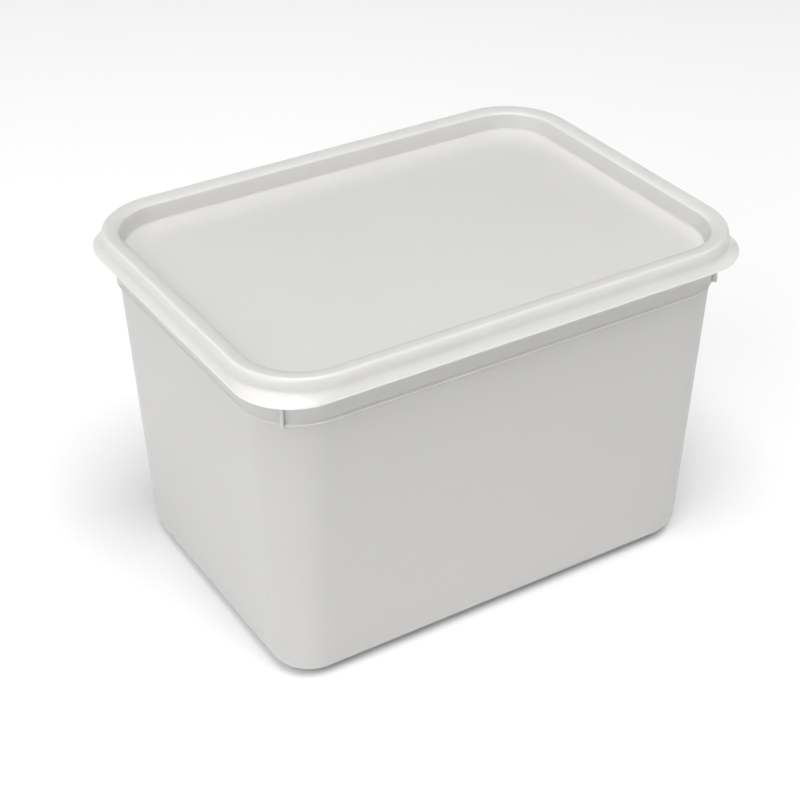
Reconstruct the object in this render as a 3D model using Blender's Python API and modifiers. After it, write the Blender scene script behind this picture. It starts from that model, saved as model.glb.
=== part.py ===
"""Rectangular four litre ice cream tub with its press-on lid, as one standalone Blender 4.5 model.

Units are metres, +Z is up, +X runs along the tub's long side, and the origin is the middle of the
base. The tub is a drafted, round-cornered body with a collar and four stacking fins under its rim.
The lid is a thin moulding: a sunken panel, a broad round bead and a skirt that flares over the rim.
"""
import math

import bmesh
import bpy
from mathutils import Matrix, Vector

COLLECTION_NAME = "ice_cream_tub"
CUTTER_COLLECTION_NAME = "ice_cream_tub_tools"

# Overall size, over the lid's skirt
LID_LENGTH = 0.2300
LID_WIDTH = 0.1689
OVERALL_HEIGHT = 0.1526

# Lid section. Offsets run outwards from the crest of the bead, drops run down from the crest.
SKIRT_OFFSET = 0.0032
SKIRT_DROP = 0.0101
SKIRT_CORNER = 0.0252
SKIRT_LIP = 0.0010
WAIST_OFFSET = 0.0019
WAIST_DROP = 0.0050
BEAD_OUTER_OFFSET = 0.0019
BEAD_OUTER_DROP = 0.0040
BEAD_INNER_OFFSET = 0.0059
BEAD_INNER_DROP = 0.0015
INNER_WALL_LEAN_DEG = 12.0
PANEL_DROP = 0.0080
PANEL_FOOT_FILLET = 0.0010
PANEL_CROWN = 0.0014
CREST_CORNER = 0.0293
LID_WALL = 0.0012
SKIRT_FLARE_POWER = 1.5

# Tub body: base size before its fillet, and how much the wall has grown by the reference height
BASE_LENGTH = 0.2028
BASE_WIDTH = 0.1393
BASE_CORNER = 0.0180
BASE_FILLET = 0.0112
DRAFT_HEIGHT = 0.1396
DRAFT_GROWTH = 0.0064
DRAFT_CORNER_GROWTH = 0.0050

# Collar under the rim, the stacking step at its foot, and the fins at its corners
COLLAR_FOOT_HEIGHT = 0.1300
COLLAR_OFFSET = 0.0014
COLLAR_CORNER_GROWTH = 0.0026
COLLAR_STEP_HEIGHT = 0.0018
FIN_THICKNESS = 0.0014
FIN_REACH = 0.0021
FIN_ROOT = 0.0007
FIN_FOOT_HEIGHT = 0.1290
FIN_TURN_DEG = 47.0

# Rim inside the lid's bead
FIT_GAP = 0.0003
RIM_OUTER_OFFSET = 0.0004
RIM_INNER_OFFSET = 0.0047
RIM_TOP_DROP = 0.0021
RIM_SHOULDER_DROP = 0.0033
RIM_FOOT_DROP = 0.0064
RIM_TOP_OUTER_OFFSET = -0.0006
RIM_TOP_INNER_OFFSET = 0.0030
RIM_UNDERCUT_HEIGHT = 0.0045
FIN_TOP_DROP = 0.0074

# Mesh steps
CORNER_STEPS = 12
BEAD_OUTER_STEPS = 5
BEAD_INNER_STEPS = 4
FLARE_STEPS = 5
FILLET_STEPS = 6
FOOT_STEPS = 3
PANEL_SHARES = (0.15, 0.35, 0.6, 0.85)

CREST_HALF_LENGTH = LID_LENGTH / 2.0 - SKIRT_OFFSET
CREST_HALF_WIDTH = LID_WIDTH / 2.0 - SKIRT_OFFSET

# The bead's inner side runs into the leaning wall at WALL_TOP_ANGLE, measured from the crest.
INNER_WALL_LEAN = math.radians(INNER_WALL_LEAN_DEG)
WALL_TOP_ANGLE = math.radians(90.0) - math.atan(
    math.tan(INNER_WALL_LEAN) * BEAD_INNER_DROP / BEAD_INNER_OFFSET
)
WALL_TOP_OFFSET = BEAD_INNER_OFFSET * math.sin(WALL_TOP_ANGLE)
WALL_TOP_DROP = BEAD_INNER_DROP * (1.0 - math.cos(WALL_TOP_ANGLE))
PANEL_FOOT_OFFSET = WALL_TOP_OFFSET + (PANEL_DROP - WALL_TOP_DROP) * math.tan(INNER_WALL_LEAN)
PANEL_EDGE_OFFSET = PANEL_FOOT_OFFSET + PANEL_FOOT_FILLET / math.tan(
    math.radians(45.0) + INNER_WALL_LEAN / 2.0
)


def clear_scene():
    """Empty the scene, so the model is all that it holds."""
    for scene_object in list(bpy.data.objects):
        bpy.data.objects.remove(scene_object, do_unlink=True)


def new_collection(name):
    """Add a collection to the scene and return it."""
    collection = bpy.data.collections.new(name)
    bpy.context.scene.collection.children.link(collection)
    return collection


def moulded_plastic(name, colour, roughness):
    """Make a plain plastic material from a linear colour and a roughness."""
    material = bpy.data.materials.new(name)
    material.use_nodes = True
    shader = material.node_tree.nodes["Principled BSDF"]
    shader.inputs["Base Color"].default_value = (*colour, 1.0)
    shader.inputs["Roughness"].default_value = roughness
    shader.inputs["Metallic"].default_value = 0.0
    return material


def rounded_ring(half_length, half_width, corner, height):
    """Return the points of a level round-cornered rectangle, counter-clockwise from +X."""
    points = []
    for quarter, (side_x, side_y) in enumerate(((1, 1), (-1, 1), (-1, -1), (1, -1))):
        centre_x = side_x * (half_length - corner)
        centre_y = side_y * (half_width - corner)
        for step in range(CORNER_STEPS + 1):
            angle = math.radians(90.0) * (quarter + step / CORNER_STEPS)
            x = centre_x + corner * math.cos(angle)
            y = centre_y + corner * math.sin(angle)
            points.append(Vector((x, y, height)))
    return points


def loft(name, rings, collection, material, cap_first):
    """Skin a stack of rings, cap the last one, and cap the first one too where that is asked."""
    mesh = bpy.data.meshes.new(name)
    shape = bmesh.new()
    rows = [[shape.verts.new(point) for point in ring] for ring in rings]
    count = len(rings[0])
    for lower, upper in zip(rows, rows[1:]):
        for index in range(count):
            following = (index + 1) % count
            shape.faces.new((lower[index], lower[following], upper[following], upper[index]))
    shape.faces.new(rows[-1])
    if cap_first:
        shape.faces.new(list(reversed(rows[0])))
    shape.to_mesh(mesh)
    shape.free()
    mesh.materials.append(material)
    loft_object = bpy.data.objects.new(name, mesh)
    collection.objects.link(loft_object)
    return loft_object


def shade_round(target, angle_deg):
    """Shade a piece smooth, with creases left sharp."""
    target.data.shade_smooth()
    target.data.set_sharp_from_angle(angle=math.radians(angle_deg))


def crest_ring(offset, drop, corner=None):
    """Return a ring of the lid's family, set out from the bead's crest line."""
    if corner is None:
        corner = CREST_CORNER + offset
    return rounded_ring(
        CREST_HALF_LENGTH + offset,
        CREST_HALF_WIDTH + offset,
        corner,
        OVERALL_HEIGHT - drop,
    )


def skirt_rings():
    """Return the rings of the flared skirt, from its lower edge up to the waist."""
    rings = [crest_ring(SKIRT_OFFSET, SKIRT_DROP, SKIRT_CORNER)]
    waist_corner = CREST_CORNER + WAIST_OFFSET
    flare_foot = SKIRT_DROP - SKIRT_LIP
    for step in range(FLARE_STEPS + 1):
        share = 1.0 - step / FLARE_STEPS
        flare = share ** SKIRT_FLARE_POWER
        offset = WAIST_OFFSET + (SKIRT_OFFSET - WAIST_OFFSET) * flare
        drop = WAIST_DROP + (flare_foot - WAIST_DROP) * share
        corner = waist_corner + (SKIRT_CORNER - waist_corner) * flare
        rings.append(crest_ring(offset, drop, corner))
    return rings


def bead_rings():
    """Return the rings of the bead, from its outer side over the crest to its inner side."""
    rings = []
    for step in range(BEAD_OUTER_STEPS + 1):
        angle = math.radians(90.0) * (1.0 - step / BEAD_OUTER_STEPS)
        offset = BEAD_OUTER_OFFSET * math.sin(angle)
        drop = BEAD_OUTER_DROP * (1.0 - math.cos(angle))
        rings.append(crest_ring(offset, drop))
    for step in range(1, BEAD_INNER_STEPS + 1):
        angle = WALL_TOP_ANGLE * step / BEAD_INNER_STEPS
        offset = -BEAD_INNER_OFFSET * math.sin(angle)
        drop = BEAD_INNER_DROP * (1.0 - math.cos(angle))
        rings.append(crest_ring(offset, drop))
    return rings


def panel_foot_rings():
    """Return the rings of the small fillet where the bead's leaning inner side meets the panel."""
    rings = []
    for step in range(FOOT_STEPS + 1):
        angle = INNER_WALL_LEAN + (math.radians(90.0) - INNER_WALL_LEAN) * step / FOOT_STEPS
        offset = PANEL_FOOT_FILLET * math.cos(angle) - PANEL_EDGE_OFFSET
        drop = PANEL_DROP - PANEL_FOOT_FILLET * (1.0 - math.sin(angle))
        rings.append(crest_ring(offset, drop))
    return rings


def panel_rings():
    """Return the rings of the panel, from its edge in towards the middle, up its low crown."""
    half_length = CREST_HALF_LENGTH - PANEL_EDGE_OFFSET
    half_width = CREST_HALF_WIDTH - PANEL_EDGE_OFFSET
    corner = CREST_CORNER - PANEL_EDGE_OFFSET
    rings = []
    for share in PANEL_SHARES:
        inset = half_width * share
        rise = PANEL_CROWN * (1.0 - (1.0 - share) ** 2)
        rings.append(rounded_ring(
            half_length - inset,
            half_width - inset,
            corner * (1.0 - share),
            OVERALL_HEIGHT - PANEL_DROP + rise,
        ))
    return rings


def build_lid(collection, material):
    """Make the lid as an open moulding and give it its wall."""
    rings = skirt_rings() + bead_rings() + panel_foot_rings() + panel_rings()
    lid = loft("lid", rings, collection, material, cap_first=False)
    wall = lid.modifiers.new("lid wall", "SOLIDIFY")
    wall.thickness = LID_WALL
    wall.offset = -1.0
    wall.use_even_offset = True
    shade_round(lid, 40.0)
    return lid


def wall_ring(height, inset=0.0, offset=0.0, corner_growth=0.0):
    """Return a ring of the tub's drafted wall, drawn in by inset or pushed out by offset."""
    share = height / DRAFT_HEIGHT
    growth = DRAFT_GROWTH * share + offset - inset
    corner = BASE_CORNER + DRAFT_CORNER_GROWTH * share + corner_growth - inset
    return rounded_ring(BASE_LENGTH / 2.0 + growth, BASE_WIDTH / 2.0 + growth, corner, height)


def base_fillet_rings():
    """Return the rings of the base fillet, from the flat base out to the wall."""
    rings = []
    for step in range(FILLET_STEPS + 1):
        angle = math.radians(90.0) * step / FILLET_STEPS
        height = BASE_FILLET * (1.0 - math.cos(angle))
        rings.append(wall_ring(height, inset=BASE_FILLET * (1.0 - math.sin(angle))))
    return rings


def collar_rings():
    """Return the rings of the stacking step and of the collar up to the rim's undercut."""
    foot = COLLAR_FOOT_HEIGHT
    collar_top = OVERALL_HEIGHT - RIM_FOOT_DROP - RIM_UNDERCUT_HEIGHT
    collar = {"offset": COLLAR_OFFSET, "corner_growth": COLLAR_CORNER_GROWTH}
    return [
        wall_ring(foot - COLLAR_STEP_HEIGHT),
        wall_ring(foot, **collar),
        wall_ring(collar_top, **collar),
    ]


def rim_rings():
    """Return the rings of the rim that fills the lid's bead, then of the top under the panel."""
    top_drop = PANEL_DROP + LID_WALL + FIT_GAP
    return [
        crest_ring(RIM_OUTER_OFFSET, RIM_FOOT_DROP),
        crest_ring(RIM_OUTER_OFFSET, RIM_SHOULDER_DROP),
        crest_ring(RIM_TOP_OUTER_OFFSET, RIM_TOP_DROP),
        crest_ring(-RIM_TOP_INNER_OFFSET, RIM_TOP_DROP),
        crest_ring(-RIM_INNER_OFFSET, RIM_SHOULDER_DROP),
        crest_ring(-RIM_INNER_OFFSET, top_drop),
    ]


def build_fin(side_x, side_y, collection, material):
    """Make one stacking fin: a thin upright plate that stands out from a corner of the collar."""
    fin_top = OVERALL_HEIGHT - FIN_TOP_DROP
    share = FIN_FOOT_HEIGHT / DRAFT_HEIGHT
    growth = DRAFT_GROWTH * share + COLLAR_OFFSET
    corner = BASE_CORNER + DRAFT_CORNER_GROWTH * share + COLLAR_CORNER_GROWTH
    centre_x = side_x * (BASE_LENGTH / 2.0 + growth - corner)
    centre_y = side_y * (BASE_WIDTH / 2.0 + growth - corner)
    turn = math.radians(FIN_TURN_DEG)
    direction = math.atan2(side_y * math.sin(turn), side_x * math.cos(turn))
    length = FIN_ROOT + FIN_REACH
    middle = corner + FIN_REACH - length / 2.0
    place = Vector((
        centre_x + middle * math.cos(direction),
        centre_y + middle * math.sin(direction),
        (FIN_FOOT_HEIGHT + fin_top) / 2.0,
    ))
    shape = bmesh.new()
    bmesh.ops.create_cube(shape, size=1.0)
    sizes = (length, FIN_THICKNESS, fin_top - FIN_FOOT_HEIGHT)
    bmesh.ops.transform(shape, matrix=Matrix.Diagonal((*sizes, 1.0)), verts=shape.verts)
    pose = Matrix.Translation(place) @ Matrix.Rotation(direction, 4, "Z")
    bmesh.ops.transform(shape, matrix=pose, verts=shape.verts)
    mesh = bpy.data.meshes.new("fin")
    shape.to_mesh(mesh)
    shape.free()
    mesh.materials.append(material)
    fin = bpy.data.objects.new("fin", mesh)
    fin.hide_render = True
    fin.display_type = "WIRE"
    collection.objects.link(fin)
    return fin


def build_tub(collection, tools, material):
    """Make the tub as one body and join its four corner fins to it."""
    rings = base_fillet_rings() + collar_rings() + rim_rings()
    tub = loft("tub", rings, collection, material, cap_first=True)
    for side_x in (1, -1):
        for side_y in (1, -1):
            build_fin(side_x, side_y, tools, material)
    fins = tub.modifiers.new("corner fins", "BOOLEAN")
    fins.operation = "UNION"
    fins.operand_type = "COLLECTION"
    fins.collection = tools
    fins.solver = "EXACT"
    shade_round(tub, 40.0)
    return tub


def main():
    """Build the tub and its lid."""
    clear_scene()
    parts = new_collection(COLLECTION_NAME)
    tools = new_collection(CUTTER_COLLECTION_NAME)
    tub_plastic = moulded_plastic("tub white polypropylene", (0.72, 0.71, 0.71), 0.42)
    lid_plastic = moulded_plastic("lid white polypropylene", (0.76, 0.76, 0.76), 0.34)
    build_tub(parts, tools, tub_plastic)
    build_lid(parts, lid_plastic)


main()
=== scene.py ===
"""Looks of a rectangular white plastic ice cream tub with its press-on lid.

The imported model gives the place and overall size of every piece. This script skins the tub and
the lid again as fine mouldings around it, dresses them in satin and polished polypropylene, and
stands them on a plain pale floor under soft studio light.
"""

import logging
import math
from dataclasses import dataclass, field
from enum import Enum
from typing import Any, Iterable

import bpy
from mathutils import Matrix, Vector
from mathutils.geometry import intersect_line_line_2d


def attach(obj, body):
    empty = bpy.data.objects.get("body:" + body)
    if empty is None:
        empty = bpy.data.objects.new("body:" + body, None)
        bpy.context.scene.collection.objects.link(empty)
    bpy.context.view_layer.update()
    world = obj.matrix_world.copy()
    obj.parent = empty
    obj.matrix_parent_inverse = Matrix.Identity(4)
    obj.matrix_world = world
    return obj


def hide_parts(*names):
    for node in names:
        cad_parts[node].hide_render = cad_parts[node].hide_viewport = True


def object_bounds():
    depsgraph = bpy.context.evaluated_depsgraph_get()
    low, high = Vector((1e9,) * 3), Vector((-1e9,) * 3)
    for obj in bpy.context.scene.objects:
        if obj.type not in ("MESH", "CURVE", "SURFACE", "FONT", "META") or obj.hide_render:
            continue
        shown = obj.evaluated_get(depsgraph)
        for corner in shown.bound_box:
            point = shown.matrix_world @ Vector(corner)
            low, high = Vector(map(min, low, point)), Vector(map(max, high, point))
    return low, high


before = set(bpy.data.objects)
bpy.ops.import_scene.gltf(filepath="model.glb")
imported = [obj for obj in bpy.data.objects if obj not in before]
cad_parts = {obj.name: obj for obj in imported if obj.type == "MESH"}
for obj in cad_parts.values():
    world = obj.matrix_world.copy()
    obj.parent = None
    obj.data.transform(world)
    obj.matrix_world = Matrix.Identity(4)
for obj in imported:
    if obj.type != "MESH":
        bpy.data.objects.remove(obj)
cad_low, cad_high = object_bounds()

LOG = logging.getLogger("ice_cream_tub")
MM = 0.001
PICTURE_SIDE_PX = 800
SENSOR_WIDTH_MM = 36.0
CLIP_START = 10.0 * MM
CROWN_POWER = 2.0  # a panel's crown is a parabola, level in the middle
LIP_STEPS = 8
STEP_ROUNDING_STEPS = 5


# ---------------------------------------------------------------------------------------------
# Helpers
# ---------------------------------------------------------------------------------------------


def linear_colour(hex_code: str) -> tuple[float, float, float, float]:
    """Turn an sRGB hex colour into linear RGBA.

    Args:
        hex_code: Six hex digits after a hash sign.

    Returns:
        The colour in scene-linear values, with an alpha of one.
    """
    channels = [int(hex_code[start:start + 2], 16) / 255.0 for start in (1, 3, 5)]
    linear = [c / 12.92 if c <= 0.04045 else ((c + 0.055) / 1.055) ** 2.4 for c in channels]
    return (linear[0], linear[1], linear[2], 1.0)


def add_node(
    tree: bpy.types.NodeTree, kind: str, inputs: dict | None = None, **settings: Any
) -> bpy.types.Node:
    """Add a node, set its options, and fill or link its inputs.

    Args:
        tree: The node tree that takes the node.
        kind: The node's Blender type name.
        inputs: Values or output sockets, by input name or position.
        **settings: The node's own options.

    Returns:
        The new node.
    """
    node = tree.nodes.new(kind)
    for name, value in settings.items():
        setattr(node, name, value)
    for key, value in (inputs or {}).items():
        socket = node.inputs[key]
        if isinstance(value, bpy.types.NodeSocket):
            tree.links.new(value, socket)
        else:
            socket.default_value = value
    return node


def set_modifier_inputs(modifier: bpy.types.Modifier, values: dict[str, Any]) -> None:
    """Set a Geometry Nodes modifier's inputs by the identifiers of their sockets.

    Args:
        modifier: The modifier whose tree is already set.
        values: Values by the sockets' shown names.
    """
    for item in modifier.node_group.interface.items_tree:
        if item.item_type == "SOCKET" and item.in_out == "INPUT" and item.name in values:
            modifier[item.identifier] = values[item.name]


def grow_mesh(name: str, tree: bpy.types.NodeTree, values: dict[str, Any]) -> bpy.types.Object:
    """Run a Geometry Nodes tree once and keep its result as a plain mesh object at the origin.

    Args:
        name: The new piece's name.
        tree: The tree to run.
        values: The tree's input values by name.

    Returns:
        The finished piece, with one material slot and no modifier left on it.
    """
    host = bpy.data.objects.new(name + "_host", bpy.data.meshes.new(name + "_host"))
    bpy.context.scene.collection.objects.link(host)
    modifier = host.modifiers.new("grow", "NODES")
    modifier.node_group = tree
    set_modifier_inputs(modifier, values)
    host.modifiers.new("even shading", "WEIGHTED_NORMAL").keep_sharp = True
    bpy.context.view_layer.update()
    depsgraph = bpy.context.evaluated_depsgraph_get()
    mesh = bpy.data.meshes.new_from_object(host.evaluated_get(depsgraph), depsgraph=depsgraph)
    bpy.data.objects.remove(host, do_unlink=True)
    mesh.name = name
    mesh.materials.clear()
    mesh.materials.append(values["Material"])
    mesh.polygons.foreach_set("material_index", [0] * len(mesh.polygons))
    piece = bpy.data.objects.new(name, mesh)
    bpy.context.scene.collection.objects.link(piece)
    return piece


# ---------------------------------------------------------------------------------------------
# Sections: the outline of a moulding's wall, seen where a saw would cut it
# ---------------------------------------------------------------------------------------------


@dataclass(frozen=True)
class Ring:
    """One level outline of a moulding: a round-cornered rectangle round the upright axis.

    Attributes:
        half_length: Half its size along X, in metres.
        half_width: Half its size along Y, in metres.
        corner: Plan radius of its corners, in metres.
        height: Its height above the floor, in metres.
    """

    half_length: float
    half_width: float
    corner: float
    height: float

    def set_in(self, distance: float) -> "Ring":
        """Return the ring drawn in by a distance, with its corners on the same centres."""
        corner = max(self.corner - distance, 0.0)
        return Ring(self.half_length - distance, self.half_width - distance, corner, self.height)


def rings_to_middle(start: Ring, steps: int, crown: float = 0.0) -> list[Ring]:
    """Return rings from a ring in to the moulding's middle line.

    Args:
        start: The outermost ring.
        steps: Rings on the way in.
        crown: How far the middle stands above the start.

    Returns:
        Rings from the start inwards. The last one has closed on the middle line.
    """
    rings = []
    for step in range(steps + 1):
        share = step / steps
        inset = start.half_width * share
        corner = start.corner * (1.0 - share)
        height = start.height + crown * (1.0 - (1.0 - share) ** CROWN_POWER)
        rings.append(Ring(start.half_length - inset, start.half_width - inset, corner, height))
    return rings


def ellipse_arc(
    centre: tuple[float, float], reach: tuple[float, float], start_deg: float, end_deg: float, steps: int
) -> list[tuple[float, float]]:
    """Return the points of an elliptic arc in the section plane.

    Args:
        centre: The centre as (out, height).
        reach: The half axes along out and along height.
        start_deg: Start angle, anticlockwise from the outward direction.
        end_deg: End angle.
        steps: Number of chords.

    Returns:
        Points as (out, height), both ends included.
    """
    points = []
    for step in range(steps + 1):
        angle = math.radians(start_deg + (end_deg - start_deg) * step / steps)
        points.append((centre[0] + reach[0] * math.cos(angle), centre[1] + reach[1] * math.sin(angle)))
    return points


def round_corner(
    before: tuple[float, float], corner: tuple[float, float], after: tuple[float, float], radius: float,
    steps: int = STEP_ROUNDING_STEPS,
) -> list[tuple[float, float]]:
    """Return the arc that rounds one corner of a path in the section plane.

    Args:
        before: A point on the way into the corner, as (out, height).
        corner: The corner.
        after: A point on the way out of it.
        radius: The rounding's radius.
        steps: Number of chords.

    Returns:
        Points as (out, height), which take the corner's place.
    """
    here = Vector(corner)
    back, ahead = (Vector(before) - here).normalized(), (Vector(after) - here).normalized()
    half_angle = back.angle(ahead) / 2.0
    centre = here + (back + ahead).normalized() * (radius / math.sin(half_angle))
    start = here + back * (radius / math.tan(half_angle)) - centre
    end = here + ahead * (radius / math.tan(half_angle)) - centre
    start_deg, end_deg = (math.degrees(math.atan2(spoke.y, spoke.x)) for spoke in (start, end))
    sweep_deg = (end_deg - start_deg + 180.0) % 360.0 - 180.0
    return ellipse_arc(tuple(centre), (radius, radius), start_deg, start_deg + sweep_deg, steps)


def set_off(path: list[tuple[float, float]], distance: float) -> list[tuple[float, float]]:
    """Return a path set off to the right of its direction of travel.

    Args:
        path: Points as (out, height).
        distance: How far to set it off.

    Returns:
        As many points as the path has.
    """
    moved = []
    for index, point in enumerate(path):
        before = Vector(path[max(index - 1, 0)])
        after = Vector(path[min(index + 1, len(path) - 1)])
        along = (after - before).normalized()
        moved.append((point[0] + along.y * distance, point[1] - along.x * distance))
    return moved


def without_loop(path: list[tuple[float, float]]) -> list[tuple[float, float]]:
    """Return a path whose loops are drawn together into the points where they cross themselves.

    Args:
        path: Points as (out, height), set off past the centre of a tight bend.

    Returns:
        As many points as the path has. Those of a loop share one place.
    """
    clean = list(path)
    for first in range(len(clean) - 3):
        for last in range(len(clean) - 2, first + 1, -1):
            meeting = intersect_line_line_2d(
                clean[first], clean[first + 1], clean[last], clean[last + 1]
            )
            if meeting is not None:
                clean[first + 1:last + 1] = [tuple(meeting)] * (last - first)
                break
    return clean


def section_object(name: str, rings: Iterable[Ring]) -> bpy.types.Object:
    """Store a moulding's rings as a bare row of vertices that the moulding tree can read.

    Args:
        name: The row's name.
        rings: The rings in order along the section.

    Returns:
        An object whose vertices hold (half length, half width, height), with the corner radius in
        an attribute beside them.
    """
    rings = list(rings)
    mesh = bpy.data.meshes.new(name)
    mesh.from_pydata([(r.half_length, r.half_width, r.height) for r in rings], [], [])
    corner = mesh.attributes.new(RoundTrayTree.CORNER, "FLOAT", "POINT")
    corner.data.foreach_set("value", [r.corner for r in rings])
    row = bpy.data.objects.new(name, mesh)
    bpy.context.scene.collection.objects.link(row)
    return row


# ---------------------------------------------------------------------------------------------
# Geometry Nodes trees
# ---------------------------------------------------------------------------------------------


class RoundTrayTree:
    """Skins a row of rings, each with a size, a corner radius and a height of its own."""

    INPUTS = (
        ("Section", "NodeSocketObject"),
        ("Corner Steps", "NodeSocketInt"),
        ("Side Steps", "NodeSocketInt"),
        ("Crease Angle", "NodeSocketFloat"),
        ("Material", "NodeSocketMaterial"),
    )
    CORNER = "corner"
    MERGE_DISTANCE = 1e-6

    def __init__(self) -> None:
        """Build the tree."""
        self.tree = bpy.data.node_groups.new("round tray", "GeometryNodeTree")
        for name, kind in self.INPUTS:
            self.tree.interface.new_socket(name, in_out="INPUT", socket_type=kind)
        self.tree.interface.new_socket("Geometry", in_out="OUTPUT", socket_type="NodeSocketGeometry")
        self.given = self.tree.nodes.new("NodeGroupInput")
        self._wire()

    def _math(self, operation: str, *values: Any) -> bpy.types.NodeSocket:
        """Add a maths node and return its result."""
        node = add_node(self.tree, "ShaderNodeMath", dict(enumerate(values)), operation=operation)
        return node.outputs[0]

    def _quarter_side(self, quarter: Any, function: str) -> bpy.types.NodeSocket:
        """Return +1 or -1, the side of the middle plane on which a quarter's corner lies.

        Args:
            quarter: The quarter's number, from zero.
            function: COSINE for the X side, SINE for the Y side.

        Returns:
            The side's sign.
        """
        angle = self._math("MULTIPLY_ADD", quarter, math.pi / 2.0, math.pi / 4.0)
        return self._math("SIGN", self._math(function, angle))

    def _corner_centre(self, quarter: Any, span_x: Any, span_y: Any) -> tuple[Any, Any]:
        """Return the centre of a quarter's corner arc as two sockets."""
        x = self._math("MULTIPLY", self._quarter_side(quarter, "COSINE"), span_x)
        y = self._math("MULTIPLY", self._quarter_side(quarter, "SINE"), span_y)
        return x, y

    def _blend(self, first: Any, second: Any, share: Any) -> bpy.types.NodeSocket:
        """Return a value between two others."""
        return self._math("MULTIPLY_ADD", self._math("SUBTRACT", second, first), share, first)

    def _sample(self, line: Any, kind: str, value: Any, row: Any) -> bpy.types.NodeSocket:
        """Read a value off the section's ring of a given number.

        Args:
            line: The section.
            kind: The value's data type.
            value: What to read there.
            row: The ring's number.

        Returns:
            The value found.
        """
        sample = add_node(
            self.tree, "GeometryNodeSampleIndex", {"Geometry": line, "Index": row},
            data_type=kind, domain="POINT", clamp=True,
        )
        self.tree.links.new(value, sample.inputs["Value"])
        return sample.outputs["Value"]

    def _wire(self) -> None:
        """Wire the tree from the section to the finished, dressed skin."""
        given = self.given.outputs
        section = add_node(self.tree, "GeometryNodeObjectInfo", {"Object": given["Section"]})
        line = section.outputs["Geometry"]
        size = add_node(self.tree, "GeometryNodeAttributeDomainSize", {"Geometry": line}, component="MESH")
        rows = size.outputs["Point Count"]
        quarter_steps = self._math("ADD", given["Corner Steps"], given["Side Steps"])
        columns = self._math("MULTIPLY_ADD", quarter_steps, 4.0, 1.0)
        grid = add_node(self.tree, "GeometryNodeMeshGrid", {"Vertices X": rows, "Vertices Y": columns})

        index = add_node(self.tree, "GeometryNodeInputIndex").outputs["Index"]
        row = self._math("FLOOR", self._math("DIVIDE", self._math("ADD", index, 0.5), columns))
        column = self._math("SUBTRACT", index, self._math("MULTIPLY", row, columns))
        quarter = self._math("FLOOR", self._math("DIVIDE", self._math("ADD", column, 0.5), quarter_steps))
        step = self._math("SUBTRACT", column, self._math("MULTIPLY", quarter, quarter_steps))
        arc_share = self._math("MINIMUM", self._math("DIVIDE", step, given["Corner Steps"]), 1.0)
        past_arc = self._math("MAXIMUM", self._math("SUBTRACT", step, given["Corner Steps"]), 0.0)
        side_share = self._math("DIVIDE", past_arc, given["Side Steps"])
        angle = self._math("MULTIPLY", self._math("ADD", quarter, arc_share), math.pi / 2.0)

        place = add_node(self.tree, "GeometryNodeInputPosition").outputs["Position"]
        size_here = self._sample(line, "FLOAT_VECTOR", place, row)
        named = add_node(
            self.tree, "GeometryNodeInputNamedAttribute", {"Name": self.CORNER}, data_type="FLOAT"
        )
        corner = self._sample(line, "FLOAT", named.outputs["Attribute"], row)
        read = add_node(self.tree, "ShaderNodeSeparateXYZ", {0: size_here}).outputs
        span_x = self._math("SUBTRACT", read["X"], corner)
        span_y = self._math("SUBTRACT", read["Y"], corner)
        height = read["Z"]
        here_x, here_y = self._corner_centre(quarter, span_x, span_y)
        next_x, next_y = self._corner_centre(self._math("ADD", quarter, 1.0), span_x, span_y)
        centre_x = self._blend(here_x, next_x, side_share)
        centre_y = self._blend(here_y, next_y, side_share)
        x = self._math("MULTIPLY_ADD", corner, self._math("COSINE", angle), centre_x)
        y = self._math("MULTIPLY_ADD", corner, self._math("SINE", angle), centre_y)
        target = add_node(self.tree, "ShaderNodeCombineXYZ", {"X": x, "Y": y, "Z": height}).outputs[0]
        self._finish(grid.outputs["Mesh"], target)

    def _finish(self, skin: Any, target: Any) -> None:
        """Place the skin, close its seam and middles, shade it and give it its plastic.

        Args:
            skin: The flat grid of vertices.
            target: Where each vertex goes.
        """
        tree, given = self.tree, self.given.outputs
        placed = add_node(tree, "GeometryNodeSetPosition", {"Geometry": skin, "Position": target})
        closed = add_node(
            tree, "GeometryNodeMergeByDistance",
            {"Geometry": placed.outputs[0], "Distance": self.MERGE_DISTANCE},
        )
        smooth = add_node(tree, "GeometryNodeSetShadeSmooth", {"Geometry": closed.outputs[0]}, domain="FACE")
        bend = add_node(tree, "GeometryNodeInputMeshEdgeAngle").outputs["Unsigned Angle"]
        creased = add_node(
            tree, "FunctionNodeCompare", {0: bend, 1: given["Crease Angle"]},
            data_type="FLOAT", operation="GREATER_THAN",
        )
        sharp = add_node(
            tree, "GeometryNodeSetShadeSmooth",
            {"Geometry": smooth.outputs[0], "Selection": creased.outputs[0], "Shade Smooth": False},
            domain="EDGE",
        )
        real = add_node(tree, "GeometryNodeRealizeInstances", {"Geometry": sharp.outputs[0]})
        dressed = add_node(
            tree, "GeometryNodeSetMaterial",
            {"Geometry": real.outputs[0], "Material": given["Material"]},
        )
        add_node(tree, "NodeGroupOutput", {0: dressed.outputs[0]})


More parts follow.
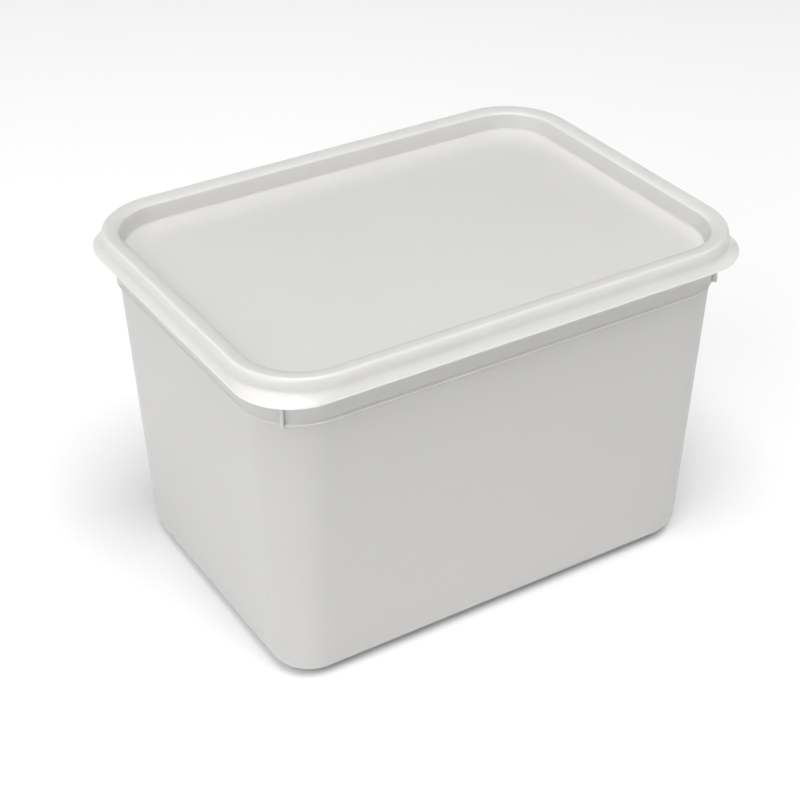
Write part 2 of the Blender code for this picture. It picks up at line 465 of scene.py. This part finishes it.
class CornerFinTree:
    """Stands one thin fin at each corner of a rectangle, turned to face out of its corner."""

    INPUTS = (
        ("Centre X", "NodeSocketFloat"),
        ("Centre Y", "NodeSocketFloat"),
        ("Turn", "NodeSocketFloat"),
        ("Middle", "NodeSocketFloat"),
        ("Size", "NodeSocketVector"),
        ("Height", "NodeSocketFloat"),
        ("Material", "NodeSocketMaterial"),
    )

    def __init__(self) -> None:
        """Build the tree."""
        self.tree = bpy.data.node_groups.new("corner fins", "GeometryNodeTree")
        for name, kind in self.INPUTS:
            self.tree.interface.new_socket(name, in_out="INPUT", socket_type=kind)
        self.tree.interface.new_socket("Geometry", in_out="OUTPUT", socket_type="NodeSocketGeometry")
        self._wire()

    def _math(self, operation: str, *values: Any) -> bpy.types.NodeSocket:
        """Add a maths node and return its result."""
        node = add_node(self.tree, "ShaderNodeMath", dict(enumerate(values)), operation=operation)
        return node.outputs[0]

    def _wire(self) -> None:
        """Wire the tree: four points, one fin shape, and one copy of it on each point."""
        tree = self.tree
        given = tree.nodes.new("NodeGroupInput").outputs
        index = add_node(tree, "GeometryNodeInputIndex").outputs["Index"]
        diagonal = self._math("MULTIPLY_ADD", index, math.pi / 2.0, math.pi / 4.0)
        side_x = self._math("SIGN", self._math("COSINE", diagonal))
        side_y = self._math("SIGN", self._math("SINE", diagonal))
        lean_x = self._math("MULTIPLY", side_x, self._math("COSINE", given["Turn"]))
        lean_y = self._math("MULTIPLY", side_y, self._math("SINE", given["Turn"]))
        centre_x = self._math("MULTIPLY", side_x, given["Centre X"])
        centre_y = self._math("MULTIPLY", side_y, given["Centre Y"])
        x = self._math("MULTIPLY_ADD", lean_x, given["Middle"], centre_x)
        y = self._math("MULTIPLY_ADD", lean_y, given["Middle"], centre_y)
        place = add_node(tree, "ShaderNodeCombineXYZ", {"X": x, "Y": y, "Z": given["Height"]}).outputs[0]
        points = add_node(tree, "GeometryNodePoints", {"Count": 4, "Position": place}).outputs[0]
        turn = add_node(
            tree, "ShaderNodeCombineXYZ", {"X": 0.0, "Y": 0.0, "Z": self._math("ARCTAN2", lean_y, lean_x)}
        ).outputs[0]
        fin = add_node(tree, "GeometryNodeMeshCube", {"Size": given["Size"]}).outputs["Mesh"]
        copies = add_node(
            tree, "GeometryNodeInstanceOnPoints",
            {"Points": points, "Instance": fin, "Rotation": turn},
        )
        smooth = add_node(tree, "GeometryNodeSetShadeSmooth", {"Geometry": copies.outputs[0]})
        real = add_node(tree, "GeometryNodeRealizeInstances", {"Geometry": smooth.outputs[0]})
        dressed = add_node(
            tree, "GeometryNodeSetMaterial",
            {"Geometry": real.outputs[0], "Material": given["Material"]},
        )
        add_node(tree, "NodeGroupOutput", {0: dressed.outputs[0]})


# ---------------------------------------------------------------------------------------------
# Finishes
# ---------------------------------------------------------------------------------------------


@dataclass(frozen=True)
class MouldSurface:
    """The surface that a mould's steel leaves on the plastic.

    Attributes:
        roughness: Mean roughness.
        roughness_swing: How much the roughness varies over the piece.
        grain_mm: Spacing of the fine grain.
        grain_depth_mm: Height of the grain.
    """

    roughness: float
    roughness_swing: float
    grain_mm: float
    grain_depth_mm: float


class MouldFace(Enum):
    """How the mould's steel was finished, which the plastic copies."""

    POLISHED = MouldSurface(roughness=0.25, roughness_swing=0.02, grain_mm=0.9, grain_depth_mm=0.0015)
    SATIN = MouldSurface(roughness=0.36, roughness_swing=0.04, grain_mm=0.5, grain_depth_mm=0.004)


@dataclass(frozen=True)
class PolypropyleneFinish:
    """White food-grade polypropylene, injection moulded.

    The plastic is a little translucent, so light creeps a few millimetres under its skin and edges
    look soft. The mould's face sets its gloss, and the melt's flow leaves a faint cloudiness.

    Attributes:
        name: The material's name.
        face: The mould's face.
        colour_hex: Body colour.
        cloud_hex: Colour of the slightly denser clouds in the melt.
        scatter_mm: How far light creeps under the skin. A thin wall lets it creep further.
    """

    name: str
    face: MouldFace
    colour_hex: str
    cloud_hex: str
    scatter_mm: float

    IOR = 1.49
    CLOUD_MM = 55.0
    SHEEN_PATCH_MM = 9.0
    SCATTER_WEIGHT = 1.0

    def material(self) -> bpy.types.Material:
        """Build the material.

        Returns:
            A node material that reads Object coordinates.
        """
        material = bpy.data.materials.new(self.name)
        material.use_nodes = True
        tree = material.node_tree
        shader = tree.nodes["Principled BSDF"]
        shader.inputs["IOR"].default_value = self.IOR
        shader.inputs["Subsurface Weight"].default_value = self.SCATTER_WEIGHT
        shader.inputs["Subsurface Radius"].default_value = (1.0, 1.0, 1.0)
        shader.inputs["Subsurface Scale"].default_value = self.scatter_mm * MM

        surface = self.face.value
        place = add_node(tree, "ShaderNodeTexCoord").outputs["Object"]
        tree.links.new(self._cloudy_colour(tree, place), shader.inputs["Base Color"])
        gloss = add_node(tree, "ShaderNodeMapRange", {
            "Value": self._noise(tree, place, self.SHEEN_PATCH_MM, 3.0),
            "To Min": surface.roughness - surface.roughness_swing,
            "To Max": surface.roughness + surface.roughness_swing,
        })
        tree.links.new(gloss.outputs["Result"], shader.inputs["Roughness"])
        bump = add_node(tree, "ShaderNodeBump", {
            "Height": self._noise(tree, place, surface.grain_mm, 4.0),
            "Distance": surface.grain_depth_mm * MM,
        })
        tree.links.new(bump.outputs["Normal"], shader.inputs["Normal"])
        return material

    def _noise(self, tree: bpy.types.NodeTree, place: Any, spacing_mm: float, detail: float) -> Any:
        """Return smooth noise whose lumps are about spacing_mm apart."""
        noise = add_node(
            tree, "ShaderNodeTexNoise",
            {"Vector": place, "Scale": 1.0 / (spacing_mm * MM), "Detail": detail, "Roughness": 0.5},
        )
        return noise.outputs["Fac"]

    def _cloudy_colour(self, tree: bpy.types.NodeTree, place: Any) -> Any:
        """Return the body colour with faint clouds in it."""
        ramp = add_node(tree, "ShaderNodeValToRGB", {"Fac": self._noise(tree, place, self.CLOUD_MM, 2.0)})
        ramp.color_ramp.elements[0].color = linear_colour(self.colour_hex)
        ramp.color_ramp.elements[1].color = linear_colour(self.cloud_hex)
        return ramp.outputs["Color"]


@dataclass(frozen=True)
class FloorFinish:
    """Matt white paper sweep: even, with no gloss."""

    name: str = "matt white studio paper"
    colour_hex: str = "#FCFCFC"
    roughness: float = 0.95

    def material(self) -> bpy.types.Material:
        """Build the floor's plain material."""
        material = bpy.data.materials.new(self.name)
        material.use_nodes = True
        shader = material.node_tree.nodes["Principled BSDF"]
        shader.inputs["Base Color"].default_value = linear_colour(self.colour_hex)
        shader.inputs["Roughness"].default_value = self.roughness
        shader.inputs["Specular IOR Level"].default_value = 0.0
        return material


# ---------------------------------------------------------------------------------------------
# The mouldings
# ---------------------------------------------------------------------------------------------


@dataclass(frozen=True)
class Crest:
    """The bead's crest line, from which the lid and the tub's rim are both set out.

    Attributes:
        half_length: Half the line's size along X.
        half_width: Half its size along Y.
        corner: Plan radius of its corners.
        top: Its height, which is the top of the closed tub.
    """

    half_length: float
    half_width: float
    corner: float
    top: float

    def ring(self, out: float, drop: float, corner: float | None = None) -> Ring:
        """Return a ring set out from the crest line.

        Args:
            out: Distance outwards.
            drop: Distance down.
            corner: Corner radius, or none to keep the crest's corner centres.

        Returns:
            The ring.
        """
        corner = self.corner + out if corner is None else corner
        return Ring(self.half_length + out, self.half_width + out, corner, self.top - drop)


@dataclass
class Moulding:
    """What the tub and the lid share.

    Attributes:
        plastic: The dressed plastic it is made of.
        crest: The bead's crest line.
        corner_steps: Mesh steps in each corner.
        side_steps: Mesh steps along each side.
        crease_deg: Bend past which an edge is drawn sharp.
    """

    plastic: bpy.types.Material
    crest: Crest
    corner_steps: int = 28
    side_steps: int = 16
    crease_deg: float = 50.0

    def skin(self, name: str, rings: list[Ring], tray: RoundTrayTree) -> bpy.types.Object:
        """Skin a row of rings and return the finished piece.

        Args:
            name: The piece's name.
            rings: The rings, of which the first and the last have closed on the middle line.
            tray: The tree that skins them.

        Returns:
            The closed piece.
        """
        row = section_object(name + "_section", rings)
        piece = grow_mesh(name, tray.tree, {
            "Section": row,
            "Corner Steps": self.corner_steps,
            "Side Steps": self.side_steps,
            "Crease Angle": math.radians(self.crease_deg),
            "Material": self.plastic,
        })
        bpy.data.objects.remove(row, do_unlink=True)
        LOG.info("%s: %d faces", name, len(piece.data.polygons))
        return piece


@dataclass
class Lid(Moulding):
    """The press-on lid: a sunken panel, a broad round bead and a skirt that flares over the rim.

    Distances run out from the bead's crest line, drops run down from it, and pairs are (out, drop).

    Attributes:
        wall: Thickness of the moulding.
        panel_drop: Depth of the panel's edge below the crest.
        panel_foot_fillet: Radius of the hollow round the panel.
        panel_crown: How far the panel's middle stands above its edge.
        wall_lean_deg: How far the wall from the bead down to the panel leans off the upright.
        bead_inner: The bead's elliptic inner side.
        bead_outer: The bead's elliptic outer side.
        waist_drop: Drop at which the outer side ends and the skirt begins to flare.
        skirt_out: The skirt's edge along the straight sides.
        skirt_drop: Drop of the skirt's edge.
        skirt_corner: Plan radius of the skirt's corners at its edge.
        skirt_lip: Height of the upright lip at the skirt's edge.
        flare_power: How late the flare comes. At one it is straight.
        bead_steps: Chords in each half of the bead.
        flare_steps: Chords in the flare.
        fillet_steps: Chords in the hollow round the panel.
        panel_steps: Rings from the panel's edge to its middle.
    """

    wall: float = 1.2 * MM
    panel_drop: float = 8.0 * MM
    panel_foot_fillet: float = 1.0 * MM
    panel_crown: float = 1.4 * MM
    wall_lean_deg: float = 12.0
    bead_inner: tuple[float, float] = (5.9 * MM, 1.5 * MM)
    bead_outer: tuple[float, float] = (1.9 * MM, 4.0 * MM)
    waist_drop: float = 5.0 * MM
    skirt_out: float = 3.2 * MM
    skirt_drop: float = 10.1 * MM
    skirt_corner: float = 25.2 * MM
    skirt_lip: float = 1.0 * MM
    flare_power: float = 1.5
    bead_steps: int = 14
    flare_steps: int = 12
    fillet_steps: int = 6
    panel_steps: int = 24

    def upper_path(self) -> list[tuple[float, float]]:
        """Return the show face's path as (out, height), from the panel's edge out to the skirt's lip."""
        top = self.crest.top
        inner, outer = self.bead_inner, self.bead_outer
        lean = math.tan(math.radians(self.wall_lean_deg))
        wall_top_deg = 180.0 - math.degrees(math.atan(lean * inner[1] / inner[0]))
        bead = ellipse_arc((0.0, top - inner[1]), inner, wall_top_deg, 90.0, self.bead_steps)
        foot_height = top - self.panel_drop
        foot = (bead[0][0] - (bead[0][1] - foot_height) * lean, foot_height)
        on_panel = (foot[0] - self.panel_drop, foot_height)
        path = round_corner(on_panel, foot, bead[0], self.panel_foot_fillet, self.fillet_steps) + bead
        path += ellipse_arc((0.0, top - outer[1]), outer, 90.0, 0.0, self.bead_steps)[1:]
        flare_foot = self.skirt_drop - self.skirt_lip
        for step in range(self.flare_steps + 1):
            share = step / self.flare_steps
            out = outer[0] + (self.skirt_out - outer[0]) * share ** self.flare_power
            path.append((out, top - self.waist_drop - (flare_foot - self.waist_drop) * share))
        path.append((self.skirt_out, top - self.skirt_drop + self.wall / 2.0))
        return path

    def plan_corner(self, out: float, height: float) -> float:
        """Return the plan corner radius of the show face at a point of the section.

        The panel and the bead share their corners' centres. Down the skirt the corners tighten,
        which is why the skirt stands out furthest at the corners.

        Args:
            out: The point's distance from the crest line.
            height: The point's height.

        Returns:
            The radius of the corners there.
        """
        drop = self.crest.top - height
        if drop <= self.waist_drop or out < 0.0:
            return self.crest.corner + out
        waist_corner = self.crest.corner + self.bead_outer[0]
        share = min((drop - self.waist_drop) / (self.skirt_drop - self.skirt_lip - self.waist_drop), 1.0)
        return waist_corner + (self.skirt_corner - waist_corner) * share ** self.flare_power

    def rings(self) -> list[Ring]:
        """Return the closed wall's rings: the show face, round the lip, and the underside back."""
        top = self.crest.top
        upper = self.upper_path()
        corners = [self.plan_corner(out, height) for out, height in upper]
        face = [self.crest.ring(out, top - height, corner) for (out, height), corner in zip(upper, corners)]
        under = []
        under_path = without_loop(set_off(upper, self.wall))
        for (out, _), (set_out, height), corner in zip(upper, under_path, corners):
            under.append(self.crest.ring(set_out, top - height, corner + set_out - out))
        radius = self.wall / 2.0
        lip = []
        lip_centre = (self.skirt_out - radius, upper[-1][1])
        for out, height in ellipse_arc(lip_centre, (radius, radius), 0.0, -180.0, LIP_STEPS)[1:-1]:
            lip.append(self.crest.ring(out, top - height, self.skirt_corner + out - self.skirt_out))
        panel_top = rings_to_middle(face[0], self.panel_steps, self.panel_crown)
        panel_under = rings_to_middle(under[0], self.panel_steps, self.panel_crown)
        return panel_top[:0:-1] + face + lip + under[::-1] + panel_under[1:]

    def build(self, tray: RoundTrayTree) -> bpy.types.Object:
        """Make the lid and hang it on the frame."""
        piece = self.skin("lid_moulding", self.rings(), tray)
        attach(piece, "root")
        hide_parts("lid")
        return piece


@dataclass
class TubBody(Moulding):
    """The tub: drafted walls, a round base edge, a collar with its stacking step, and four fins.

    Attributes:
        base_half_length: Half the length that the wall would have at the floor.
        base_half_width: Half the width that it would have there.
        base_corner: Plan radius of its corners there.
        base_fillet: Radius of the round base edge.
        draft_height: Height over which the draft is measured.
        draft_growth: How far the wall has moved out at that height.
        draft_corner_growth: How much the corner radius has grown at that height.
        collar_foot: Height of the collar's foot edge.
        collar_out: How far the collar stands out of the wall.
        collar_corner_growth: How much larger the corner radius is round the collar.
        collar_lip: How far the collar's foot edge stands proud, and how tall it is.
        collar_edge: Radius of that edge.
        step_height: Height of the slope under the collar.
        rim_foot_drop: Drop of the rim's foot, below the lid's crest.
        rim_undercut: Height from the collar's top up to the rim's foot.
        rim_out: The rim's outer side, out from the crest line.
        rim_in: The rim's inner side, in from the crest line.
        rim_top_drop: Drop of the rim's flat top.
        rim_shoulder_drop: Drop at which the rim's sides slope in to its top.
        rim_top: How far in from the crest line the flat top ends and begins.
        inner_floor_drop: Drop of the level surface under the lid's panel.
        fin_thickness: Thickness of a fin.
        fin_reach: How far a fin stands out of the collar.
        fin_root: How far it is sunk into the collar.
        fin_foot: Height of its foot.
        fin_top_drop: Drop of its top.
        fin_turn_deg: Bearing of a fin, off the tub's long axis.
        fin_edge: Radius of a fin's edges.
        fin_edge_steps: Chords in a fin's rounded edge.
        fillet_steps: Chords in the base edge.
        wall_steps: Rings up the wall.
        base_steps: Rings from the base's edge to its middle.
        inner_floor_steps: Rings from the edge of the surface under the panel to its middle.
    """

    base_half_length: float = 101.4 * MM
    base_half_width: float = 69.65 * MM
    base_corner: float = 18.0 * MM
    base_fillet: float = 11.2 * MM
    draft_height: float = 139.6 * MM
    draft_growth: float = 6.4 * MM
    draft_corner_growth: float = 5.0 * MM
    collar_foot: float = 130.0 * MM
    collar_out: float = 1.4 * MM
    collar_corner_growth: float = 2.6 * MM
    collar_lip: tuple[float, float] = (0.4 * MM, 1.2 * MM)
    collar_edge: float = 0.5 * MM
    step_height: float = 1.8 * MM
    rim_foot_drop: float = 6.4 * MM
    rim_undercut: float = 4.5 * MM
    rim_out: float = 0.4 * MM
    rim_in: float = 4.7 * MM
    rim_top_drop: float = 2.1 * MM
    rim_shoulder_drop: float = 3.3 * MM
    rim_top: tuple[float, float] = (3.0 * MM, 0.6 * MM)
    inner_floor_drop: float = 9.5 * MM
    fin_thickness: float = 1.4 * MM
    fin_reach: float = 2.1 * MM
    fin_root: float = 0.7 * MM
    fin_foot: float = 129.0 * MM
    fin_top_drop: float = 7.4 * MM
    fin_turn_deg: float = 47.0
    fin_edge: float = 0.4 * MM
    fin_edge_steps: int = 3
    fillet_steps: int = 12
    wall_steps: int = 24
    base_steps: int = 8
    inner_floor_steps: int = 4

    def wall_ring(self, height: float, set_out: float = 0.0, corner_growth: float = 0.0) -> Ring:
        """Return a ring of the drafted wall.

        Args:
            height: Its height above the floor.
            set_out: How far it is pushed out of the plain wall.
            corner_growth: How much its plan corner radius is enlarged.

        Returns:
            The ring.
        """
        share = height / self.draft_height
        growth = self.draft_growth * share + set_out
        corner = self.base_corner + self.draft_corner_growth * share + corner_growth
        return Ring(self.base_half_length + growth, self.base_half_width + growth, corner, height)

    def collar_path(self) -> list[tuple[float, float]]:
        """Return the collar's path as (out of the drafted wall, height), from its step up to the skirt.

        The wall steps out under the collar, and the collar's foot edge stands a little proud.
        """
        foot, lip = self.collar_foot, self.collar_lip
        step_foot = (0.0, foot - self.step_height)
        edge = (self.collar_out + lip[0], foot)
        lip_top = (self.collar_out, foot + lip[1])
        top = (self.collar_out, self.crest.top - self.rim_foot_drop - self.rim_undercut)
        below = (0.0, step_foot[1] - self.step_height)
        path = round_corner(below, step_foot, edge, self.step_height / 2.0)
        path += round_corner(step_foot, edge, lip_top, self.collar_edge)
        path += round_corner(edge, lip_top, top, self.step_height / 2.0)
        return path + [top]

    def rings(self) -> list[Ring]:
        """Return the rings from the middle of the top, over the rim and down to the base's middle."""
        fillet = []
        for step in range(self.fillet_steps + 1):
            angle = math.radians(90.0 * step / self.fillet_steps)
            plain = self.wall_ring(self.base_fillet * (1.0 - math.cos(angle)))
            fillet.append(plain.set_in(self.base_fillet * (1.0 - math.sin(angle))))
        base = rings_to_middle(fillet[0], self.base_steps)
        wall_top = self.collar_foot - 2.0 * self.step_height
        wall = []
        for step in range(1, self.wall_steps + 1):
            rise = (wall_top - self.base_fillet) * step / self.wall_steps
            wall.append(self.wall_ring(self.base_fillet + rise))
        collar = []
        for out, height in self.collar_path():
            collar.append(self.wall_ring(height, out, self.collar_corner_growth * out / self.collar_out))
        rim_section = [
            (self.rim_out, self.rim_foot_drop),
            (self.rim_out, self.rim_shoulder_drop),
            (-self.rim_top[1], self.rim_top_drop),
            (-self.rim_top[0], self.rim_top_drop),
            (-self.rim_in, self.rim_shoulder_drop),
            (-self.rim_in, self.inner_floor_drop),
        ]
        rim = [self.crest.ring(out, drop) for out, drop in rim_section]
        inner_floor = rings_to_middle(rim[-1], self.inner_floor_steps)
        upwards = base[:0:-1] + fillet + wall + collar + rim + inner_floor[1:]
        return upwards[::-1]

    def build(self, tray: RoundTrayTree) -> bpy.types.Object:
        """Make the tub's body and hang it on the frame."""
        piece = self.skin("tub_moulding", self.rings(), tray)
        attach(piece, "root")
        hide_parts("tub")
        return piece

    def build_fins(self) -> bpy.types.Object:
        """Make the four stacking fins that stand out of the collar's corners, as one piece."""
        at_foot = self.wall_ring(self.fin_foot, self.collar_out, self.collar_corner_growth)
        fin_top = self.crest.top - self.fin_top_drop
        length = self.fin_root + self.fin_reach
        fins = grow_mesh("corner_fins", CornerFinTree().tree, {
            "Centre X": at_foot.half_length - at_foot.corner,
            "Centre Y": at_foot.half_width - at_foot.corner,
            "Turn": math.radians(self.fin_turn_deg),
            "Middle": at_foot.corner + self.fin_reach - length / 2.0,
            "Size": (length, self.fin_thickness, fin_top - self.fin_foot),
            "Height": (fin_top + self.fin_foot) / 2.0,
            "Material": self.plastic,
        })
        rounding = fins.modifiers.new("rounded edges", "BEVEL")
        rounding.width = self.fin_edge
        rounding.segments = self.fin_edge_steps
        rounding.harden_normals = True
        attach(fins, "root")
        LOG.info("corner_fins: %d faces", len(fins.data.polygons))
        return fins


# ---------------------------------------------------------------------------------------------
# Studio
# ---------------------------------------------------------------------------------------------


@dataclass(frozen=True)
class SoftBox:
    """A large soft light that faces the tub.

    Attributes:
        name: The light's name.
        azimuth_deg: Its bearing, zero in front of the tub, towards -X at -90.
        elevation_deg: Its height above the floor, as an angle.
        distance: How far off it stands, in metres.
        size: The side of its square face, in metres.
        power: Its power in watts.
    """

    name: str
    azimuth_deg: float
    elevation_deg: float
    distance: float
    size: float
    power: float

    def place(self, aim: Vector) -> None:
        """Stand the light in the scene, facing aim."""
        azimuth, elevation = math.radians(self.azimuth_deg), math.radians(self.elevation_deg)
        away = Vector((
            math.sin(azimuth) * math.cos(elevation),
            -math.cos(azimuth) * math.cos(elevation),
            math.sin(elevation),
        ))
        data = bpy.data.lights.new(self.name, "AREA")
        data.shape = "SQUARE"
        data.size = self.size
        data.energy = self.power
        light = bpy.data.objects.new(self.name, data)
        light.location = aim + away * self.distance
        light.rotation_mode = "QUATERNION"
        light.rotation_quaternion = away.to_track_quat("Z", "Y")
        bpy.context.scene.collection.objects.link(light)


@dataclass
class Studio:
    """The pale floor, the soft lights and the camera.

    Attributes:
        azimuth_deg: The camera's bearing, zero in front of the tub, towards -X at -90.
        elevation_deg: Its height above the floor, as an angle.
        roll_deg: Its turn about its own axis.
        distance: How far it stands from the plane through the tub's middle.
        focal_px: Its focal length in picture elements.
        aim_right: Sideways offset of its axis from the tub's middle.
        aim_up: Upward offset of its axis.
        floor_side: Side of the square floor.
        world_strength: Strength of the even light all round.
        soft_boxes: The soft lights.
    """

    azimuth_deg: float = -31.61
    elevation_deg: float = 33.07
    roll_deg: float = -0.314
    distance: float = 788.64 * MM
    focal_px: float = 1827.1
    aim_right: float = -6.36 * MM
    aim_up: float = -7.88 * MM
    floor_side: float = 12.0
    world_strength: float = 0.03
    soft_boxes: tuple[SoftBox, ...] = field(default_factory=lambda: (
        SoftBox("left_soft_box", -68.0, 30.0, 2.5, 2.6, 36.0),
        SoftBox("top_soft_box", -10.0, 73.0, 2.5, 1.8, 58.0),
        SoftBox("back_soft_box", -150.0, 42.0, 2.5, 1.6, 10.0),
        SoftBox("right_soft_box", 90.0, 42.0, 2.5, 1.6, 5.0),
        SoftBox("front_soft_box", 15.0, 15.0, 2.5, 1.6, 4.0),
    ))

    def build_floor(self) -> None:
        """Lay the plain pale floor."""
        half = self.floor_side / 2.0
        mesh = bpy.data.meshes.new("floor")
        corners = [(-half, -half, 0.0), (half, -half, 0.0), (half, half, 0.0), (-half, half, 0.0)]
        mesh.from_pydata(corners, [], [(0, 1, 2, 3)])
        mesh.materials.append(FloorFinish().material())
        floor = bpy.data.objects.new("floor", mesh)
        bpy.context.scene.collection.objects.link(floor)

    def build_lights(self, aim: Vector) -> None:
        """Set the even surrounding light and the soft boxes."""
        world = bpy.data.worlds.new("studio")
        world.use_nodes = True
        background = world.node_tree.nodes["Background"]
        background.inputs["Color"].default_value = (1.0, 1.0, 1.0, 1.0)
        background.inputs["Strength"].default_value = self.world_strength
        bpy.context.scene.world = world
        for box in self.soft_boxes:
            box.place(aim)

    def build_camera(self, aim: Vector) -> None:
        """Stand the camera at its viewing angle."""
        azimuth, elevation = math.radians(self.azimuth_deg), math.radians(self.elevation_deg)
        back = Vector((
            math.sin(azimuth) * math.cos(elevation),
            -math.cos(azimuth) * math.cos(elevation),
            math.sin(elevation),
        ))
        right = Vector((0.0, 0.0, 1.0)).cross(back).normalized()
        up = back.cross(right)
        eye = aim + right * self.aim_right + up * self.aim_up + back * self.distance
        roll = math.radians(self.roll_deg)
        rolled_right = right * math.cos(roll) + up * math.sin(roll)
        rolled_up = up * math.cos(roll) - right * math.sin(roll)
        turn = Matrix((rolled_right, rolled_up, back)).transposed()
        data = bpy.data.cameras.new("camera")
        data.sensor_width = SENSOR_WIDTH_MM
        data.lens = self.focal_px / PICTURE_SIDE_PX * SENSOR_WIDTH_MM
        data.clip_start = CLIP_START
        camera = bpy.data.objects.new("camera", data)
        camera.matrix_world = Matrix.Translation(eye) @ turn.to_4x4()
        bpy.context.scene.collection.objects.link(camera)
        bpy.context.scene.camera = camera

    def build(self) -> None:
        """Build the whole studio round the tub."""
        aim = Vector((0.0, 0.0, (cad_low.z + cad_high.z) / 2.0))
        self.build_floor()
        self.build_lights(aim)
        self.build_camera(aim)
        bpy.context.scene.view_settings.view_transform = "Standard"


def main() -> None:
    """Build the tub, its lid and the studio."""
    logging.basicConfig(level=logging.INFO, format="%(name)s: %(message)s")
    # The tub's body colour is a darker grey than the lid's so that its upright walls match their shade:
    # partly the plastic's own off-white, partly painted shade.
    satin = PolypropyleneFinish(
        name="satin moulded polypropylene", face=MouldFace.SATIN,
        colour_hex="#CBCAC9", cloud_hex="#C9C8C7", scatter_mm=1.5,
    )
    polished = PolypropyleneFinish(
        name="polished moulded polypropylene", face=MouldFace.POLISHED,
        colour_hex="#DAD9D6", cloud_hex="#D8D7D4", scatter_mm=3.5,
    )
    tray = RoundTrayTree()
    crest = Crest(half_length=111.8 * MM, half_width=81.25 * MM, corner=29.3 * MM, top=cad_high.z)
    tub = TubBody(plastic=satin.material(), crest=crest)
    tub.build(tray)
    tub.build_fins()
    Lid(plastic=polished.material(), crest=crest).build(tray)
    Studio().build()


if __name__ == "__main__":
    main()
